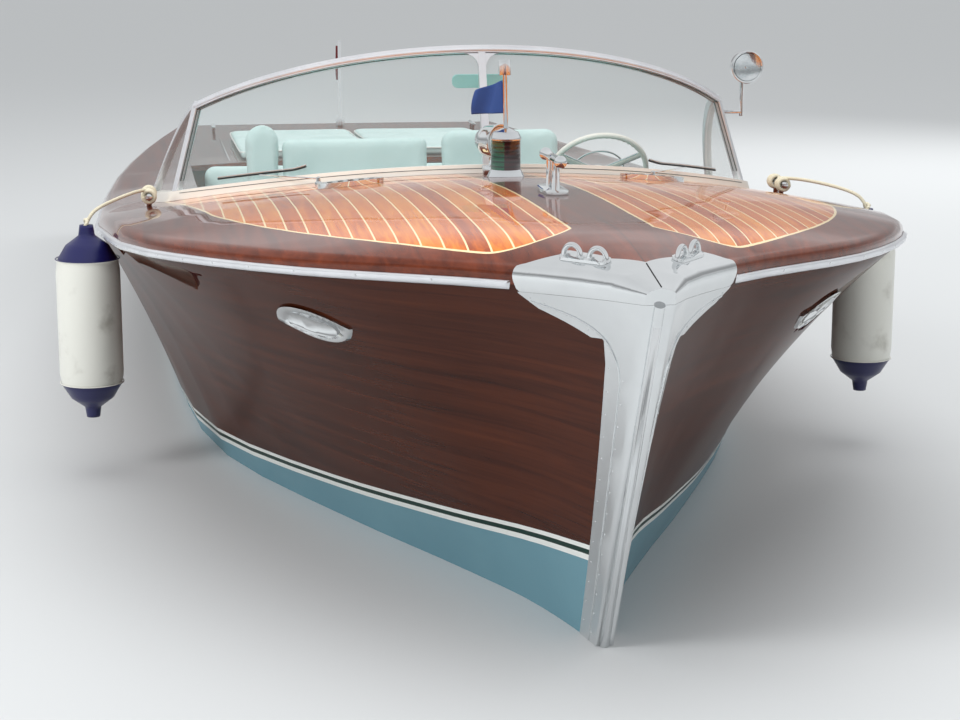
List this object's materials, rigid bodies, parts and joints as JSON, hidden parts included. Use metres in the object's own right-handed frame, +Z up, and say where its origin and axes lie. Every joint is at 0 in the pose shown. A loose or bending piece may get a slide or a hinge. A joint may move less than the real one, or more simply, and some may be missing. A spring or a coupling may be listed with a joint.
{
  "type": "speedboat, a decked mahogany runabout",
  "caption": "Varnished mahogany speedboat with flared bow, chrome stem, wrapped windscreen, open cockpit and engine hatches.",
  "frame": {"origin": "at the water's surface, amidships on the centreline, 4.1 m aft of the stem head", "axes": "+X forward to the bow, +Y to port, +Z up"},
  "size_m": [8.2542, 2.8538, 1.9943],
  "materials": {
    "varnished_hull": "dark varnished mahogany, high gloss",
    "bottom_paint": "light blue boot and bottom paint",
    "varnished_deck": "red-brown varnished mahogany, high gloss",
    "inlay_wood": "golden varnished mahogany with pale seams",
    "interior_wood": "varnished plywood",
    "sole_covering": "woven floor covering",
    "chrome": "polished",
    "cream_trim": "cream enamel",
    "screen_glass": "clear glass, slightly green",
    "aqua_padding": "aqua vinyl",
    "upholstery": "pale aqua vinyl with piping",
    "engine_paint": "satin grey-blue enamel",
    "bronze": "cast and machined bronze",
    "fender_vinyl": "off-white with dark blue ends",
    "black_rubber": "matt black",
    "rope": "laid rope",
    "blue_cloth": "plain blue flag cloth",
    "red_cloth": "plain dark red flag cloth"
  },
  "bodies": {
    "hull": {"topside_port": "varnished_hull", "topside_starboard": "varnished_hull", "transom": "varnished_hull", "keel": "varnished_hull", "bottom_port": "bottom_paint", "bottom_starboard": "bottom_paint", "foredeck": "varnished_deck", "side_deck_port": "varnished_deck", "side_deck_starboard": "varnished_deck", "aft_deck": "varnished_deck", "inlay_port": "inlay_wood", "inlay_starboard": "inlay_wood", "fore_bulkhead": "interior_wood", "aft_bulkhead": "interior_wood", "side_linings": "interior_wood", "engine_beds": "interior_wood", "hatch_coaming": "interior_wood", "cockpit_sole": "sole_covering", "cutwater": "chrome", "bow_plate": "chrome", "bow_chocks": "chrome", "rub_rails": "chrome", "windscreen_frame": "chrome", "bow_cleat": "chrome", "mooring_cleats": "chrome", "deck_vents": "chrome", "hull_scoops": "chrome", "bow_staff": "chrome", "searchlight": "chrome", "stern_staff": "chrome", "hatch_hinges": "chrome", "exhaust_outlets": "chrome", "steering_column": "chrome", "bow_light": "chrome", "gauges": "chrome", "windscreen_trim": "cream_trim", "windscreen_glass": "screen_glass", "dash_roll": "aqua_padding", "dashboard": "aqua_padding", "mirror": "aqua_padding", "wipers": "black_rubber", "front_seats": "upholstery", "rear_seat": "upholstery", "engines": "engine_paint", "shaft_brackets": "bronze", "fender_port": "fender_vinyl", "fender_starboard": "fender_vinyl", "lanyard_port": "rope", "lanyard_starboard": "rope", "bow_pennant": "blue_cloth", "stern_ensign": "red_cloth"},
    "propeller_port": {"propeller_port": "bronze"},
    "propeller_starboard": {"propeller_starboard": "bronze"},
    "rudder_port": {"rudder_port": "bronze"},
    "rudder_starboard": {"rudder_starboard": "bronze"},
    "steering_wheel": {"steering_wheel": "cream_trim"},
    "hatch_port": {"hatch_lid_port": "varnished_deck", "sun_pad_port": "upholstery"},
    "hatch_starboard": {"hatch_lid_starboard": "varnished_deck", "sun_pad_starboard": "upholstery"}
  },
  "joints": [
    {"name": "propeller_port_spin", "type": "hinge", "parent": "hull", "child": "propeller_port", "pos_m": [-3.5, 0.41, -0.43], "axis": [0.9744, 0, 0.225], "continuous": true},
    {"name": "propeller_starboard_spin", "type": "hinge", "parent": "hull", "child": "propeller_starboard", "pos_m": [-3.5, -0.41, -0.43], "axis": [0.9744, 0, 0.225], "continuous": true},
    {"name": "rudder_port_turn", "type": "hinge", "parent": "hull", "child": "rudder_port", "pos_m": [-3.83, 0.41, -0.27], "axis": [0, 0, 1], "range_deg": [-35, 35]},
    {"name": "rudder_starboard_turn", "type": "hinge", "parent": "hull", "child": "rudder_starboard", "pos_m": [-3.83, -0.41, -0.27], "axis": [0, 0, 1], "range_deg": [-35, 35]},
    {"name": "steering_wheel_turn", "type": "hinge", "parent": "hull", "child": "steering_wheel", "pos_m": [0.65, 0.6, 0.855], "axis": [-0.8192, 0, 0.5736], "range_deg": [-352, 352]},
    {"name": "hatch_port_lift", "type": "hinge", "parent": "hull", "child": "hatch_port", "pos_m": [-2.5, 0.737, 0.6365], "axis": [-0.9995, 0, -0.0308], "range_deg": [0, 75]},
    {"name": "hatch_starboard_lift", "type": "hinge", "parent": "hull", "child": "hatch_starboard", "pos_m": [-2.5, -0.737, 0.6365], "axis": [0.9995, 0, 0.0308], "range_deg": [0, 75]}
  ],
  "couplings": [
    {"joint": "rudder_starboard_turn", "follows": "rudder_port_turn", "ratio": 1},
    {"joint": "steering_wheel_turn", "follows": "rudder_port_turn", "ratio": -10}
  ]
}
